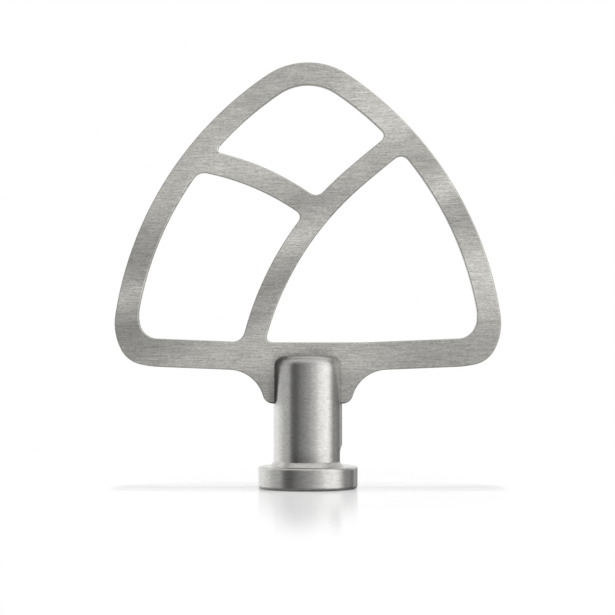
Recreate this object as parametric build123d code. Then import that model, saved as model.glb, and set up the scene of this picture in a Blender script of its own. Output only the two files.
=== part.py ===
# Flat beater of a tilt-head stand mixer: a pierced steel plate standing in a turned hub.
# The flange rests on z = 0 at the origin, +Z is up, +X is to the right and -Y faces the viewer.
import os
from math import cos, degrees, radians, sqrt, tan

from build123d import *

# Blade plate, outer outline
blade_width = 135.0
blade_top = 149.0
blade_thickness = 5.0
edge_round = 0.4
widest_rise = 6.68
crown_radius = 25.6
side_radius = 123.8
shoulder_radius = 19.6
corner_radius = 10.0
heel_radius = 35.4
heel_inset = 16.0

# Bottom bar: level in the middle, rising a little towards both ends
window_floor = 51.22
level_half = 19.0
rise_angle = 2.3
bar_height = 9.88
bend_radius = 150.0

# Lug below the bar, which stands in the hub
lug_foot_height = 29.85
lug_flat_half = 12.15
lug_radius = 3.65
neck_radius = 12.6

# Windows: the frame round them and two ribs between them, with their arcs centred below the windows' floor
arm_width = 7.9
rib_width = 7.9
rib_centre_drop = 26.0
rib_radius = 110.1
rib_straighten_angle = 130.7
rib_end_radius = 450.0
branch_centre_x = -53.0
branch_centre_drop = 26.0
branch_radius = 90.9

# Corner radii of the windows, named by the window and the place of the corner
window_shoulder_radius = 17.0
window_shoulder_rise = 9.4
window_corner_radius = 6.65
right_foot_radius = 1.9
right_top_radius = 3.1
left_foot_radius = 4.2
left_inner_radius = 2.5
left_top_radius = 4.4
top_left_radius = 1.6
top_right_radius = 2.4
top_foot_radius = 3.6

# Hub, turned from bar
hub_diameter = 24.0
hub_top = 46.5
hub_top_radius = 3.5
slot_side_gap = 0.02
flange_diameter = 34.8
flange_thickness = 8.0
flange_top_round = 1.0
flange_foot_round = 1.3
collar_width = 1.4
collar_height = 1.6

# Shaft socket: a blind bore, a keyway for the shaft's cross pin and a lock slot in which it turns
shaft_diameter = 12.7
bore_clearance = 0.1
bore_floor = 2.0
drill_angle = 118.0
mouth_chamfer = 0.8
pin_diameter = 4.8
pin_reach = 11.2
pin_side_gap = 0.4
pin_end_gap = 0.5
keyway_bearing = 38.0
lock_front_bearing = -21.0
lock_height = 7.5
lock_corner_radius = 3.5

# Sizes that follow from the ones above: the main rib rises from where the bar stops being level
widest_height = window_floor + widest_rise
rib_centre_x = sqrt(rib_radius**2 - rib_centre_drop**2) - level_half
rib_centre_z = window_floor - rib_centre_drop
branch_centre_z = window_floor - branch_centre_drop
heel_run = (blade_width / 2 - heel_inset - level_half) / cos(radians(rise_angle))
half_thickness = blade_thickness / 2
hub_radius = hub_diameter / 2
flange_radius = flange_diameter / 2
bore_radius = shaft_diameter / 2 + bore_clearance
drill_tip = bore_radius / tan(radians(drill_angle / 2))
bore_depth = lug_foot_height - bore_floor - drill_tip
cut_past = 1.0


def point_between(centre_a, reach_a, centre_b, reach_b, turn):
    """The point at the two reaches from two centres, left of the way from a to b for turn +1."""
    way = centre_b - centre_a
    along = (reach_a**2 - reach_b**2 + way.length**2) / (2 * way.length)
    aside = sqrt(reach_a**2 - along**2)
    direction = way.normalized()
    normal = Vector(-direction.Y, direction.X)
    return centre_a + direction * along + normal * (turn * aside)


def point_along(start, way, centre, reach):
    """The furthest point along a line that lies at a reach from a centre."""
    offset = start - centre
    along = offset.dot(way)
    aside = offset - way * along
    return start + way * (sqrt(reach**2 - aside.dot(aside)) - along)


def touching_point(centre, radius, towards):
    """The point of a circle on the ray from its centre through another point."""
    return centre + (towards - centre).normalized() * radius


def round_arc(centre, radius, start, end):
    """The shorter arc of a circle from start to end."""
    middle = centre + ((start - centre) + (end - centre)).normalized() * radius
    return ThreePointArc(start, middle, end)


def bar_directions():
    """The ways along the rising stretch of the bar and square to it."""
    rising = Vector(1, 0).rotate(Axis.Z, rise_angle)
    return rising, rising.rotate(Axis.Z, 90)


def bar_point(run):
    """A point on the bar's lower edge, at a run along it from below the end of the level floor."""
    rising, upward = bar_directions()
    return Vector(level_half, window_floor) - upward * bar_height + rising * run


def arm_centres():
    """The centres of the crown, the right side and the right shoulder, each touching the next."""
    crown = Vector(0, blade_top - crown_radius)
    shoulder = Vector(blade_width / 2 - shoulder_radius, widest_height)
    side = point_between(crown, side_radius - crown_radius, shoulder, side_radius - shoulder_radius, -1)
    return crown, side, shoulder


def half_outline():
    """The right half of the blade's edge, from the crown's end down to the lug's foot."""
    crown, side, shoulder = arm_centres()
    rising, upward = bar_directions()
    heel_end = bar_point(heel_run)
    heel = heel_end + upward * heel_radius
    corner = point_between(shoulder, shoulder_radius - corner_radius, heel, heel_radius - corner_radius, -1)
    lug = Vector(lug_flat_half, lug_foot_height + lug_radius)
    neck = point_along(bar_point(0) - upward * neck_radius, rising, lug, neck_radius + lug_radius)

    crown_end = touching_point(side, side_radius, crown)
    side_end = touching_point(side, side_radius, shoulder)
    shoulder_end = touching_point(shoulder, shoulder_radius, corner)
    corner_end = touching_point(heel, heel_radius, corner)
    bar_end = neck + upward * neck_radius
    neck_end = touching_point(neck, neck_radius, lug)
    foot = Vector(lug_flat_half, lug_foot_height)
    return [
        round_arc(side, side_radius, crown_end, side_end),
        round_arc(shoulder, shoulder_radius, side_end, shoulder_end),
        round_arc(corner, corner_radius, shoulder_end, corner_end),
        round_arc(heel, heel_radius, corner_end, heel_end),
        Line(heel_end, bar_end),
        round_arc(neck, neck_radius, bar_end, neck_end),
        round_arc(lug, lug_radius, neck_end, foot),
    ]


def mirrored(point):
    return Vector(-point.X, point.Y)


def outer_face():
    """The plate's outline as one face, drawn with y up."""
    edges = half_outline()
    crown_end = edges[0] @ 0
    foot = edges[-1] @ 1
    crown_arc = ThreePointArc(mirrored(crown_end), Vector(0, blade_top), crown_end)
    lug_foot = Line(foot, mirrored(foot))
    other_half = [mirror(edge, about=Plane.YZ) for edge in edges]
    return make_face([crown_arc, lug_foot, *edges, *other_half])


def frame_opening():
    """The space inside the frame, before the ribs divide it: the outline set in, closed by the floor."""
    crown, side, _ = arm_centres()
    rising, upward = bar_directions()
    inner_side = side_radius - arm_width
    level_end = Vector(level_half, window_floor)
    shoulder_line = Vector(0, window_floor + window_shoulder_rise)
    shoulder = point_along(shoulder_line, Vector(1, 0), side, inner_side - window_shoulder_radius)
    corner_line = level_end + upward * window_corner_radius
    corner = point_along(corner_line, rising, shoulder, window_shoulder_radius - window_corner_radius)
    crown_end = touching_point(side, inner_side, crown)
    side_end = touching_point(side, inner_side, shoulder)
    shoulder_end = touching_point(shoulder, window_shoulder_radius, corner)
    floor_end = corner - upward * window_corner_radius
    half = [
        round_arc(side, inner_side, crown_end, side_end),
        round_arc(shoulder, window_shoulder_radius, side_end, shoulder_end),
        round_arc(corner, window_corner_radius, shoulder_end, floor_end),
        Line(floor_end, level_end),
    ]
    crown_top = Vector(0, blade_top - arm_width)
    crown_arc = ThreePointArc(mirrored(crown_end), crown_top, crown_end)
    level_floor = Line(level_end, mirrored(level_end))
    other_half = [mirror(edge, about=Plane.YZ) for edge in half]
    opening = make_face([crown_arc, level_floor, *half, *other_half])
    bends = [corner_at(opening, level_end), corner_at(opening, mirrored(level_end))]
    return fillet(bends, bend_radius)


def corner_at(face, point):
    """The face's corner nearest a point."""
    return face.vertices().sort_by_distance(point)[0]


def band(centre, radius, width, start_angle, sweep):
    """A flat strip of even width along an arc, with the radius at its middle line."""
    outer = CenterArc(centre, radius + width / 2, start_angle, sweep)
    inner = CenterArc(centre, radius - width / 2, start_angle, sweep)
    return make_face([outer, inner, Line(outer @ 0, inner @ 0), Line(outer @ 1, inner @ 1)])


def rib_face():
    """The main rib: a long arc that rises from the bar, then runs almost straight to the arm."""
    centre = Vector(rib_centre_x, rib_centre_z)
    outward = Vector(1, 0).rotate(Axis.Z, rib_straighten_angle)
    end_centre = centre + outward * (rib_radius - rib_end_radius)
    past_arm = degrees(blade_width / 2 / rib_end_radius)
    rising = band(centre, rib_radius, rib_width, 180, rib_straighten_angle - 180)
    straight = band(end_centre, rib_end_radius, rib_width, rib_straighten_angle, -past_arm)
    return rising + straight


def branch_face():
    """The branch rib: an arc from the left arm that ends in the main rib."""
    centre = Vector(branch_centre_x, branch_centre_z)
    whole = band(centre, branch_radius, rib_width, 0, 180)
    return whole - Pos(rib_centre_x, rib_centre_z) * Circle(rib_radius)


def windows():
    """The three windows: right, left and top, each with its rounded corners."""
    faces = (frame_opening() - rib_face() - branch_face()).faces()
    right = faces.sort_by(Axis.X)[-1]
    left = faces.sort_by(Axis.X)[0]
    top = faces.sort_by(Axis.Y)[-1]
    right = rounded(right, {(-1, -1): right_foot_radius, (0, 1): right_top_radius})
    left = rounded(left, {(1, -1): left_foot_radius, (1, 0.5): left_inner_radius, (-0.3, 1): left_top_radius})
    top = rounded(top, {(-1, 0): top_left_radius, (1, 0): top_right_radius, (0, -1): top_foot_radius})
    return [right, left, top]


def rounded(face, radii):
    """The face with the corner that lies furthest along each direction rounded to its radius."""
    corners = {}
    for direction, radius in radii.items():
        way = Vector(*direction)
        corners[max(face.vertices(), key=lambda corner: Vector(corner.X, corner.Y).dot(way))] = radius
    for corner, radius in corners.items():
        face = face.fillet_2d(radius, [corner_at(face, corner)])
    return face


def blade():
    """The plate with its windows and eased edges, standing in the XZ plane."""
    profile = outer_face() - windows()
    plate = extrude(Plane.XZ * profile, half_thickness, both=True)
    rims = plate.faces().sort_by(Axis.Y)
    return fillet(rims[0].edges() + rims[-1].edges(), edge_round)


def turned_body():
    """Flange, collar and stem, turned as one."""
    collar_radius = hub_radius + collar_width
    collar_top = flange_thickness + collar_height
    corners = [
        (0, 0),
        (flange_radius, 0),
        (flange_radius, flange_thickness),
        (collar_radius, flange_thickness),
        (hub_radius, collar_top),
        (hub_radius, hub_top),
        (0, hub_top),
    ]
    section = make_face(Polyline(*corners, close=True).edges())
    section = fillet(corner_at(section, Vector(flange_radius, 0)), flange_foot_round)
    section = fillet(corner_at(section, Vector(flange_radius, flange_thickness)), flange_top_round)
    section = fillet(corner_at(section, Vector(hub_radius, hub_top)), hub_top_radius)
    return revolve(Plane.XZ * section, Axis.Z)


def bore_cut():
    """The blind bore for the shaft, with its drilled end and chamfered mouth."""
    corners = [
        (0, 0),
        (bore_radius + mouth_chamfer, 0),
        (bore_radius, mouth_chamfer),
        (bore_radius, bore_depth),
        (0, bore_depth + drill_tip),
    ]
    return revolve(Plane.XZ * make_face(Polyline(*corners, close=True).edges()), Axis.Z)


def pin_slot(reach, height):
    """A straight slot from the axis outward, wide enough for the shaft's cross pin."""
    width = pin_diameter + 2 * pin_side_gap
    return Box(reach, width, height, align=(Align.MIN, Align.CENTER, Align.MIN))


def keyway_cut():
    """The way in for the cross pin: up through the flange, then open to the side of the stem."""
    way_in = pin_slot(pin_reach + pin_end_gap, flange_thickness)
    opening = Pos(0, 0, flange_thickness) * pin_slot(flange_radius + cut_past, lock_height)
    return Rot(0, 0, keyway_bearing) * (way_in + opening)


def lock_cut():
    """The slot in the stem's wall in which the pin turns from the keyway to its locked place."""
    arc = CenterArc((0, 0), flange_radius + cut_past, lock_front_bearing, keyway_bearing - lock_front_bearing)
    sector = make_face([Line((0, 0), arc @ 0), arc, Line(arc @ 1, (0, 0))])
    block = extrude(Pos(0, 0, flange_thickness) * sector, lock_height)
    lid = block.faces().sort_by(Axis.Z)[-1]
    front_edge = lid.edges().filter_by(GeomType.LINE).sort_by(Axis.Y)[0]
    return fillet(front_edge, lock_corner_radius)


def hub():
    """The turned hub with its socket and the slot that takes the blade."""
    slot_width = blade_thickness + 2 * slot_side_gap
    slot_height = hub_top - lug_foot_height + cut_past
    slot = Pos(0, 0, lug_foot_height) * Box(
        hub_diameter + cut_past, slot_width, slot_height, align=(Align.CENTER, Align.CENTER, Align.MIN)
    )
    return turned_body() - bore_cut() - keyway_cut() - lock_cut() - slot


os.makedirs("parts", exist_ok=True)
for name, solid in {"blade": blade(), "hub": hub()}.items():
    export_step(solid, f"parts/{name}.step")
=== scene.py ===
import math

import bpy
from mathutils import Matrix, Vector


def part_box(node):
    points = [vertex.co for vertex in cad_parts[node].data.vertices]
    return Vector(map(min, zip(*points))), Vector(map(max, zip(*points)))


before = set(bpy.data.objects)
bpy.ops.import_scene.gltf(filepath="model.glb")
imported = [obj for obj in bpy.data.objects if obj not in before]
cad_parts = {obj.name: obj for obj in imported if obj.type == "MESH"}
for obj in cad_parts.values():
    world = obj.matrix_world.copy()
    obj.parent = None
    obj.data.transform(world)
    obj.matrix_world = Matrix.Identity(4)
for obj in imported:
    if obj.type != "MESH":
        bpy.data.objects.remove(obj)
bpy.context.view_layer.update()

# Lengths are in metres, apart from those of the metals further down
millimetre = 0.001

# The camera: level, straight in front of the blade, with the whole picture's width seen at the blade's face
view_distance = 1.0
view_height = 0.0634
view_side = -0.00012
view_width = 0.21459
sensor_width = 36.0
nearest_seen = 0.01

# The floor: matt white, with a soft reflection close to the part. Further off it turns plain white, over its
# plain span, and the reflection fades out over the gloss span, sooner to the sides by the narrowing. The
# shade is the lamp's share in the tone close to the part, and the rest of that tone is plain white
floor_reach = 3.0
floor_colour = (0.93, 0.93, 0.93, 1.0)
floor_plain_span = (0.14, 0.30)
floor_gloss = 0.45
floor_gloss_colour = (0.69, 0.69, 0.69, 1.0)
floor_gloss_span = (0.09, 0.285)
floor_gloss_narrowing = 2.2
floor_roughness = 0.16
floor_shade = 0.62
white = (1.0, 1.0, 1.0, 1.0)

# The overhead lamp, a little in front of the part, which throws the blade's shadow on the floor
lamp_height = 3.0
lamp_forward = 0.21
lamp_width = 0.18
lamp_depth = 1.36
lamp_power = 102.0

# The studio round the metal: levels of the soft boxes and dark cards by bearing in degrees, with 0 at the
# viewer and + to the right
studio = [
    (-180, 1.15),
    (-150, 1.65),
    (-125, 2.20),
    (-104, 1.82),
    (-86, 1.22),
    (-70, 1.18),
    (-54, 0.22),
    (-40, 0.20),
    (-20, 0.53),
    (0, 0.85),
    (25, 1.54),
    (42, 2.60),
    (70, 3.04),
    (84, 1.86),
    (94, 0.70),
    (112, 0.67),
    (126, 0.28),
    (141, 0.92),
    (154, 0.42),
    (166, 0.62),
    (180, 1.15),
]

# Above and below the ring: a soft box overhead, an even card above the back, a dimmer stretch all round just
# below the ring, and the light that a pale floor gives back. Each comes in from one height of a direction to
# another, where -1 is straight down and 1 straight up. The card above the back also comes in by bearing, on
# both sides
overhead_level = 1.75
overhead_heights = (0.50, 0.90)
back_card_level = 1.40
back_card_heights = (0.10, 0.20)
back_card_bearings = (100, 145)
low_card_share = 0.50
low_card_heights = (-0.08, -0.22)
floor_light_level = 0.80
floor_light_heights = (-0.35, -0.65)

# What other rays than glossy ones meet in place of the studio: matt surfaces get no light from it, and what
# is seen behind the part is plain white
other_rays = {"Is Diffuse Ray": 0.0, "Is Camera Ray": 1.0, "Is Transmission Ray": 1.0}

# Both metals, with lengths in millimetres from here on: how far highlights are stretched across the grooves,
# the noise of the grain, and the range of its values that tones are spread over
anisotropy = 0.75
grain_detail = 2.0
grain_roughness = 0.6
grain_span = (0.30, 0.70)

# The plate's faces: colour, streaks by length and height, the share of the coarse ones, the tones and the
# roughness from the lowest grain to the highest, and the grooves' depth and direction, which is tilted a
# little off X so that no wall faces it squarely
plate_colour = (0.503, 0.496, 0.469)
plate_fine_streak = (0.9, 0.26)
plate_coarse_streak = (7, 0.32)
plate_coarse_share = 0.46
plate_tones = (0.57, 1.43)
plate_roughness = (0.46, 0.38)
plate_groove_depth = 0.004
plate_groove = (1.0, 0.03, 0.05)

# The plate's cut walls and eased edges, told from its faces by how far a point faces front or back, from 0
# to 1. Edges have painted light and shade: one tone facing left, a darker one facing right. The left arm's
# inner edge has its own painted tones by height, which give way to the right-facing one towards the middle
face_facing = (0.90, 0.99)
wall_facing = (0.10, 0.35)
wall_tones = (0.62, 0.86)
wall_roughness = 0.26
edge_roughness = 0.42
edge_sideways = (-0.3, 0.3)
left_edge_tone = 0.80
right_edge_tone = 0.54
inner_edge_heights = (74, 104)
inner_edge_tones = (0.62, 1.0)
inner_edge_end = (-28, -16)

# Painted sheen on the plate: soft lighter and darker bands painted into its colour, that rise to the right
# and waver a little, by their height at X = 0 and how much lighter or darker each is
band_slope = 0.333
bands = [
    (28, 0.07),
    (36, 0.06),
    (46, 0.03),
    (52, 0.16),
    (58, 0.19),
    (69, -0.11),
    (76, -0.24),
    (82, -0.08),
    (89, 0.22),
    (94, 0.05),
    (100, -0.13),
    (108, -0.04),
    (119, 0.17),
    (136, 0.02),
    (152, 0.0),
]

# The grey that stands for no change, and the noise that the bands waver by: how far it moves them in all, its
# scale, its detail and its middle value
band_grey = 0.5
band_waver = 4
waver_scale = 0.028
waver_detail = 1.0
waver_middle = 0.5

# Painted pools of light and shade on the plate, lighter or darker, each with its centre, the radius up to
# which it is full, the radius at which it ends, and its strength
painted_pools = [
    {"x": 63, "z": 86, "full": 24, "reach": 50, "strength": 0.16},
    {"x": 24, "z": 131, "full": 6, "reach": 24, "strength": 0.17},
    {"x": -33, "z": 121, "full": 5, "reach": 20, "strength": 0.13},
    {"x": -14, "z": 108, "full": 4, "reach": 13, "strength": 0.10},
    {"x": 14, "z": 109, "full": 4, "reach": 13, "strength": 0.10},
    {"x": -4, "z": 87, "full": 2, "reach": 9, "strength": 0.09},
    {"x": 15, "z": 139, "full": 2, "reach": 11, "strength": 0.08},
    {"x": -62, "z": 66, "full": 2, "reach": 10, "strength": 0.15},
    {"x": -58, "z": 76, "full": 1, "reach": 7, "strength": -0.10},
    {"x": 43, "z": 110, "full": 1, "reach": 6, "strength": -0.12},
    {"x": 51, "z": 99, "full": 3, "reach": 10, "strength": -0.12},
    {"x": 53, "z": 93, "full": 1, "reach": 5, "strength": 0.08},
    {"x": -36, "z": 47, "full": 4, "reach": 15, "strength": 0.06},
    {"x": -19, "z": 54, "full": 3, "reach": 14, "strength": -0.08},
    {"x": 1, "z": 46, "full": 2, "reach": 8, "strength": -0.09},
]

# Painted shade: the low part of both arms and of the bar's ends is made dimmer: how far out that comes in,
# the span of X over which the left side's values change to the right side's, the heights below which it
# lies, how softly it ends there, and its strengths
dim_outward = (16, 42)
dim_sides = (-40, 40)
dim_heights = (92, 60)
dim_softness = (-7, 7)
dim_strengths = (0.14, 0.26)

# The stem's radius and the radius of its top's rounding, which the seam between plate and hub follows
stem_radius = 12
stem_top_radius = 3.5

# Painted shade on the plate, round the seam, on the lug and along its foot. A shade is the product of its
# steps, and each step goes smoothly from one share to another while a measure goes from one value to another:
# X, the height, the height over the lug's foot, or the distance from the seam
plate_shades = {
    "round the seam, up to its right corner": [
        ("from_seam", (0, 2.4), (0.17, 0.0)),
        ("across", (5, 9), (1.0, 0.0)),
    ],
    "along the seam, low on the lug's left side": [
        ("from_seam", (0, 3.6), (0.30, 0.0)),
        ("across", (-5, 0), (1.0, 0.0)),
        ("height", (30, 41), (1.0, 0.0)),
    ],
    "the lug from its neck down": [
        ("height", (37, 43.5), (0.24, 0.0)),
    ],
    "the line along the lug's foot": [
        ("over_foot", (0.2, 0.8), (0.60, 0.0)),
    ],
}

# The hub: colour, streaks by length and height, the share of the coarse ones, the tones and the roughness
# from the lowest grain to the highest, and the grooves' depth
hub_colour = (0.358, 0.354, 0.343)
hub_fine_streak = (0.9, 0.27)
hub_coarse_streak = (5, 0.5)
hub_coarse_share = 0.20
hub_tones = (0.78, 1.22)
hub_roughness_span = (0.25, 0.75)
hub_roughness = (0.34, 0.28)
hub_groove_depth = 0.003

# Painted shade on the hub, beside the lug, on its top's rounding, along the flange's foot, on the flange and
# above the collar, made in the same way from X, the distance from the plate's middle, the height, or how far
# a point faces up or down, from 0 to 1
hub_shades = {
    "beside the lug, painted shade by the seam": [
        ("depth", (5.5, 10), (1.0, 0.0)),
        ("height", (28, 31), (0.0, 1.0)),
        ("across", (-4, 4), (0.36, 0.20)),
    ],
    "the rounding of the top": [
        ("height", (42.5, 44), (0.0, 0.21)),
    ],
    "the line along the flange's foot": [
        ("height", (0.3, 1.4), (0.68, 0.0)),
        ("upright", (0.88, 0.98), (1.0, 0.0)),
    ],
    "the flange": [
        ("height", (7, 8.5), (0.07, 0.0)),
    ],
    "the stem just above the collar, less to the right": [
        ("height", (9.8, 15), (0.26, 0.0)),
        ("height", (9, 9.8), (0.0, 1.0)),
        ("across", (-6, -4), (0.0, 1.0)),
        ("across", (0, 8), (1.0, 0.2)),
    ],
}


def add_node(tree, kind, inputs=None, **settings):
    """A new node with its settings, and with its inputs linked or set, by name or number."""
    node = tree.nodes.new(kind)
    for name, value in settings.items():
        setattr(node, name, value)
    for name, value in (inputs or {}).items():
        if isinstance(value, bpy.types.NodeSocket):
            tree.links.new(value, node.inputs[name])
        else:
            node.inputs[name].default_value = value
    return node


def calculate(tree, operation, *values):
    """A number worked out from one, two or three others."""
    return add_node(tree, "ShaderNodeMath", dict(enumerate(values)), operation=operation).outputs[0]


def vector_math(tree, operation, inputs):
    return add_node(tree, "ShaderNodeVectorMath", inputs, operation=operation).outputs


def calculate_vector(tree, operation, *values):
    """A vector worked out from one or two others."""
    return vector_math(tree, operation, dict(enumerate(values)))["Vector"]


def measure_vectors(tree, operation, *values):
    """The length of a vector, or the distance between two."""
    return vector_math(tree, operation, dict(enumerate(values)))["Value"]


def scale_vector(tree, vector, factor):
    return vector_math(tree, "SCALE", {0: vector, "Scale": factor})["Vector"]


def split(tree, vector):
    """The X, Y and Z of a vector."""
    return add_node(tree, "ShaderNodeSeparateXYZ", {0: vector}).outputs[:]


def remap(tree, value, span, result=(0.0, 1.0), kind="SMOOTHSTEP"):
    """A number that goes from the first result to the second while a value goes over a span."""
    start, end = span
    first, second = result
    inputs = {"Value": value, "From Min": start, "From Max": end, "To Min": first, "To Max": second}
    return add_node(tree, "ShaderNodeMapRange", inputs, interpolation_type=kind).outputs["Result"]


def mix_numbers(tree, factor, first, second):
    node = add_node(tree, "ShaderNodeMix", {0: factor, 2: first, 3: second}, data_type="FLOAT")
    return node.outputs[0]


def mix_shaders(tree, factor, first, second):
    return add_node(tree, "ShaderNodeMixShader", {0: factor, 1: first, 2: second}).outputs[0]


def add_ramp(tree, value, stops):
    """A grey that follows a value from 0 to 1 through stops, each with its place and its grey."""
    node = add_node(tree, "ShaderNodeValToRGB", {"Fac": value})
    node.color_ramp.interpolation = "EASE"
    elements = node.color_ramp.elements
    for place, _ in stops[1:-1]:
        elements.new(place)
    for element, (_, grey) in zip(elements, stops):
        element.color = (grey, grey, grey, 1)
    return node.outputs["Color"]


def shade_off(tree, tone, measures, shades):
    """A tone made darker by each painted shade."""
    for steps in shades.values():
        shade = 1.0
        for measure, span, shares in steps:
            shade = calculate(tree, "MULTIPLY", shade, remap(tree, measures[measure], span, shares))
        tone = calculate(tree, "MULTIPLY", tone, calculate(tree, "SUBTRACT", 1.0, shade))
    return tone


def new_material(name):
    """A material with an empty tree, that tree, and the place of each point in the part's frame."""
    material = bpy.data.materials.new(name)
    material.use_nodes = True
    tree = material.node_tree
    tree.nodes.clear()
    place = add_node(tree, "ShaderNodeTexCoord").outputs["Object"]
    return material, tree, place


def add_camera():
    """A level camera that looks along Y at the blade's face."""
    camera = bpy.data.objects.new("camera", bpy.data.cameras.new("camera"))
    bpy.context.scene.collection.objects.link(camera)
    face_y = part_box("blade")[0].y
    camera.location = (view_side, face_y - view_distance, view_height)
    camera.rotation_euler = (math.radians(90), 0, 0)
    camera.data.sensor_width = sensor_width
    camera.data.lens = sensor_width * view_distance / view_width
    camera.data.clip_start = nearest_seen
    bpy.context.scene.camera = camera


def add_world():
    """White behind everything, and a studio of soft boxes and dark cards for the metal to reflect."""
    world = bpy.data.worlds.new("studio")
    bpy.context.scene.world = world
    world.use_nodes = True
    tree = world.node_tree
    tree.nodes.clear()
    direction = add_node(tree, "ShaderNodeTexCoord").outputs["Generated"]
    right, back, height = split(tree, direction)
    bearing = calculate(tree, "ARCTAN2", right, calculate(tree, "MULTIPLY", back, -1.0))

    turn = remap(tree, bearing, (-math.pi, math.pi), kind="LINEAR")
    brightest = max(level for _, level in studio)
    stops = [((degrees + 180) / 360, level / brightest) for degrees, level in studio]
    level = calculate(tree, "MULTIPLY", add_ramp(tree, turn, stops), brightest)

    back_card_span = [math.radians(degrees) for degrees in back_card_bearings]
    behind = remap(tree, calculate(tree, "ABSOLUTE", bearing), back_card_span)
    behind_above = calculate(tree, "MULTIPLY", behind, remap(tree, height, back_card_heights))
    level = mix_numbers(tree, behind_above, level, back_card_level)
    level = calculate(tree, "MULTIPLY", level, remap(tree, height, low_card_heights, (1.0, low_card_share)))
    level = mix_numbers(tree, remap(tree, height, floor_light_heights), level, floor_light_level)
    level = mix_numbers(tree, remap(tree, height, overhead_heights), level, overhead_level)

    path = add_node(tree, "ShaderNodeLightPath")
    for ray, met in other_rays.items():
        level = mix_numbers(tree, path.outputs[ray], level, met)
    light = add_node(tree, "ShaderNodeBackground", {"Color": white, "Strength": level})
    add_node(tree, "ShaderNodeOutputWorld", {"Surface": light.outputs[0]})


def add_overhead_lamp():
    light = bpy.data.lights.new("overhead_lamp", "AREA")
    light.shape = "RECTANGLE"
    light.size = lamp_width
    light.size_y = lamp_depth
    light.energy = lamp_power
    lamp = bpy.data.objects.new("overhead_lamp", light)
    lamp.location = (0, -lamp_forward, lamp_height)
    lamp.visible_glossy = False
    bpy.context.scene.collection.objects.link(lamp)


def floor_material():
    material, tree, place = new_material("floor")
    matt = add_node(tree, "ShaderNodeBsdfDiffuse", {"Color": floor_colour}).outputs[0]
    gloss_inputs = {"Color": floor_gloss_colour, "Roughness": floor_roughness}
    gloss = add_node(tree, "ShaderNodeBsdfGlossy", gloss_inputs).outputs[0]
    plain = add_node(tree, "ShaderNodeEmission", {"Color": white, "Strength": 1.0}).outputs[0]
    narrowed = calculate_vector(tree, "MULTIPLY", place, (floor_gloss_narrowing, 1, 1))
    gloss_share = remap(tree, measure_vectors(tree, "LENGTH", narrowed), floor_gloss_span, (floor_gloss, 0.0))
    plain_share = remap(tree, measure_vectors(tree, "LENGTH", place), floor_plain_span)
    surface = mix_shaders(tree, floor_shade, plain, matt)
    surface = mix_shaders(tree, gloss_share, surface, gloss)
    surface = mix_shaders(tree, plain_share, surface, plain)
    add_node(tree, "ShaderNodeOutputMaterial", {"Surface": surface})
    return material


def add_floor():
    """A flat square that the camera and the lamp see, and the metal doesn't."""
    mesh = bpy.data.meshes.new("floor")
    corners = [(x * floor_reach, y * floor_reach, 0) for x, y in ((-1, -1), (1, -1), (1, 1), (-1, 1))]
    mesh.from_pydata(corners, [], [(0, 1, 2, 3)])
    mesh.materials.append(floor_material())
    floor = bpy.data.objects.new("floor", mesh)
    bpy.context.scene.collection.objects.link(floor)
    floor.visible_glossy = False


def grain_noise(tree, inputs, **settings):
    """Noise on a vector that is already scaled to the size of the streaks."""
    inputs = {**inputs, "Scale": 1.0, "Detail": grain_detail, "Roughness": grain_roughness}
    return add_node(tree, "ShaderNodeTexNoise", inputs, **settings).outputs["Fac"]


def straight_grain(tree, place, length, height):
    """Streaks of a length along X and a height across it."""
    scaled = calculate_vector(tree, "MULTIPLY", place, (1 / length, 1 / height, 1 / height))
    return grain_noise(tree, {"Vector": scaled})


def round_grain(tree, place, length, height):
    """Streaks that run round the Z axis, with a length at the stem's surface and a height across them."""
    flat = calculate_vector(tree, "MULTIPLY", place, (1, 1, 0))
    round_part = scale_vector(tree, calculate_vector(tree, "NORMALIZE", flat), stem_radius / length)
    up_part = calculate_vector(tree, "MULTIPLY", place, (0, 0, 1 / height))
    together = calculate_vector(tree, "ADD", round_part, up_part)
    outward = calculate(tree, "MULTIPLY", measure_vectors(tree, "LENGTH", flat), 1 / height)
    return grain_noise(tree, {"Vector": together, "W": outward}, noise_dimensions="4D")


def add_metal(tree, colour, tone, roughness, across, grooves, groove_depth):
    """A metal of a colour times a tone, with its highlights stretched across its grooves."""
    bump_inputs = {"Height": grooves, "Distance": groove_depth * millimetre, "Strength": 1.0}
    shader = add_node(tree, "ShaderNodeBsdfPrincipled", {
        "Base Color": scale_vector(tree, colour, tone),
        "Metallic": 1.0,
        "Roughness": roughness,
        "Anisotropic": anisotropy,
        "Tangent": across,
        "Normal": add_node(tree, "ShaderNodeBump", bump_inputs).outputs[0],
    })
    add_node(tree, "ShaderNodeOutputMaterial", {"Surface": shader.outputs[0]})


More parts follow.
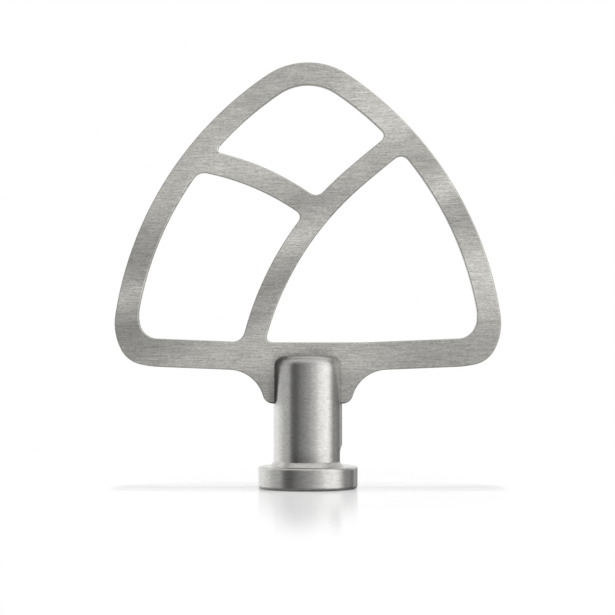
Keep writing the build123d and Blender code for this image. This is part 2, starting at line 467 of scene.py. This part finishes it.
def painted_plate_sheen(tree, place):
    """How much lighter or darker the plate's faces are painted, as sheen and shade, apart from the grain."""
    across, _, height = split(tree, place)
    waver_inputs = {"Vector": place, "Scale": waver_scale, "Detail": waver_detail}
    noise = add_node(tree, "ShaderNodeTexNoise", waver_inputs).outputs["Fac"]
    rise = calculate(tree, "MULTIPLY_ADD", across, -band_slope, height)
    rise = calculate(tree, "MULTIPLY_ADD", calculate(tree, "SUBTRACT", noise, waver_middle), band_waver, rise)
    lowest, highest = bands[0][0], bands[-1][0]
    stops = [((level - lowest) / (highest - lowest), band_grey + strength) for level, strength in bands]
    ramp = add_ramp(tree, remap(tree, rise, (lowest, highest), kind="LINEAR"), stops)
    sheen = calculate(tree, "ADD", ramp, 1.0 - band_grey)

    # Painted pools of light and shade
    for pool in painted_pools:
        away = measure_vectors(tree, "DISTANCE", place, (pool["x"], 0, pool["z"]))
        change = remap(tree, away, (pool["full"], pool["reach"]), (1.0 + pool["strength"], 1.0))
        sheen = calculate(tree, "MULTIPLY", sheen, change)

    # Painted shade on the low ends of the arms and the bar
    outward = remap(tree, calculate(tree, "ABSOLUTE", across), dim_outward)
    limit = remap(tree, across, dim_sides, dim_heights)
    low = remap(tree, calculate(tree, "SUBTRACT", height, limit), dim_softness, (1.0, 0.0))
    strength = remap(tree, across, dim_sides, dim_strengths)
    dim = calculate(tree, "MULTIPLY", calculate(tree, "MULTIPLY", outward, low), strength)
    return calculate(tree, "MULTIPLY", sheen, calculate(tree, "SUBTRACT", 1.0, dim))


def side_tone(tree, streaks, facing, sideways, across, height):
    """The plate's tone on its cut walls and, between them and its faces, on its edges of painted light and
    shade.
    """
    wall = remap(tree, streaks, grain_span, wall_tones, "LINEAR")
    inner_edge = remap(tree, height, inner_edge_heights, inner_edge_tones)
    on_left_arm = remap(tree, across, inner_edge_end, (1.0, 0.0))
    right_edge = mix_numbers(tree, on_left_arm, right_edge_tone, inner_edge)
    edge = remap(tree, sideways, edge_sideways, (left_edge_tone, right_edge))
    return remap(tree, facing, wall_facing, (wall, edge))


def distance_from_seam(tree, across, height):
    """How far a place on the plate lies outside the stem's outline, which has rounded top corners."""
    flat_half = stem_radius - stem_top_radius
    flat_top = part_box("hub")[1].z / millimetre - stem_top_radius
    beside = calculate(tree, "SUBTRACT", calculate(tree, "ABSOLUTE", across), flat_half)
    over = calculate(tree, "SUBTRACT", height, flat_top)
    outside = add_node(tree, "ShaderNodeCombineXYZ", {
        "X": calculate(tree, "MAXIMUM", beside, 0.0),
        "Z": calculate(tree, "MAXIMUM", over, 0.0),
    })
    away = measure_vectors(tree, "LENGTH", outside.outputs[0])
    return calculate(tree, "SUBTRACT", away, stem_top_radius)


def plate_material():
    """Stainless sheet, brushed straight along X."""
    material, tree, place = new_material("plate_steel")
    place = scale_vector(tree, place, 1 / millimetre)
    across, _, height = split(tree, place)
    normal = add_node(tree, "ShaderNodeNewGeometry").outputs["Normal"]
    sideways, frontways, _ = split(tree, normal)
    facing = calculate(tree, "ABSOLUTE", frontways)
    on_face = remap(tree, facing, face_facing)

    fine = straight_grain(tree, place, *plate_fine_streak)
    coarse = straight_grain(tree, place, *plate_coarse_streak)
    streaks = mix_numbers(tree, plate_coarse_share, fine, coarse)
    face_tone = remap(tree, streaks, grain_span, plate_tones, "LINEAR")
    # Painted sheen, and painted pools of light and shade, on the faces
    face_tone = calculate(tree, "MULTIPLY", face_tone, painted_plate_sheen(tree, place))
    tone = mix_numbers(tree, on_face, side_tone(tree, streaks, facing, sideways, across, height), face_tone)
    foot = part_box("blade")[0].z / millimetre
    measures = {
        "across": across,
        "height": height,
        "over_foot": calculate(tree, "SUBTRACT", height, foot),
        "from_seam": distance_from_seam(tree, across, height),
    }
    # Painted shade round the seam, on the lug and along its foot
    tone = shade_off(tree, tone, measures, plate_shades)

    face_roughness = remap(tree, streaks, grain_span, plate_roughness, "LINEAR")
    side_roughness = remap(tree, facing, wall_facing, (wall_roughness, edge_roughness))
    roughness = mix_numbers(tree, on_face, side_roughness, face_roughness)
    across_grooves = calculate_vector(tree, "CROSS_PRODUCT", plate_groove, normal)
    add_metal(tree, plate_colour, tone, roughness, across_grooves, fine, plate_groove_depth)
    return material


def hub_material():
    """Stainless bar, turned and brushed round its axis."""
    material, tree, place = new_material("hub_steel")
    place = scale_vector(tree, place, 1 / millimetre)
    across, frontways, height = split(tree, place)
    normal = add_node(tree, "ShaderNodeNewGeometry").outputs["Normal"]
    _, _, upwards = split(tree, normal)

    fine = round_grain(tree, place, *hub_fine_streak)
    coarse = round_grain(tree, place, *hub_coarse_streak)
    streaks = mix_numbers(tree, hub_coarse_share, fine, coarse)
    measures = {
        "across": across,
        "depth": calculate(tree, "ABSOLUTE", frontways),
        "height": height,
        "upright": calculate(tree, "ABSOLUTE", upwards),
    }
    # The grain's tones, with painted shade
    tone = shade_off(tree, remap(tree, streaks, grain_span, hub_tones, "LINEAR"), measures, hub_shades)

    roughness = remap(tree, streaks, hub_roughness_span, hub_roughness, "LINEAR")
    along_grooves = calculate_vector(tree, "CROSS_PRODUCT", (0, 0, 1), place)
    across_grooves = calculate_vector(tree, "CROSS_PRODUCT", along_grooves, normal)
    add_metal(tree, hub_colour, tone, roughness, across_grooves, fine, hub_groove_depth)
    return material


def dress(node, material):
    """Puts a material on a node of the part, in place of its plain one."""
    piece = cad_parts[node]
    piece.data.materials.clear()
    piece.data.materials.append(material)


add_camera()
add_world()
add_overhead_lamp()
add_floor()
dress("blade", plate_material())
dress("hub", hub_material())

bpy.context.scene.view_settings.view_transform = "Standard"
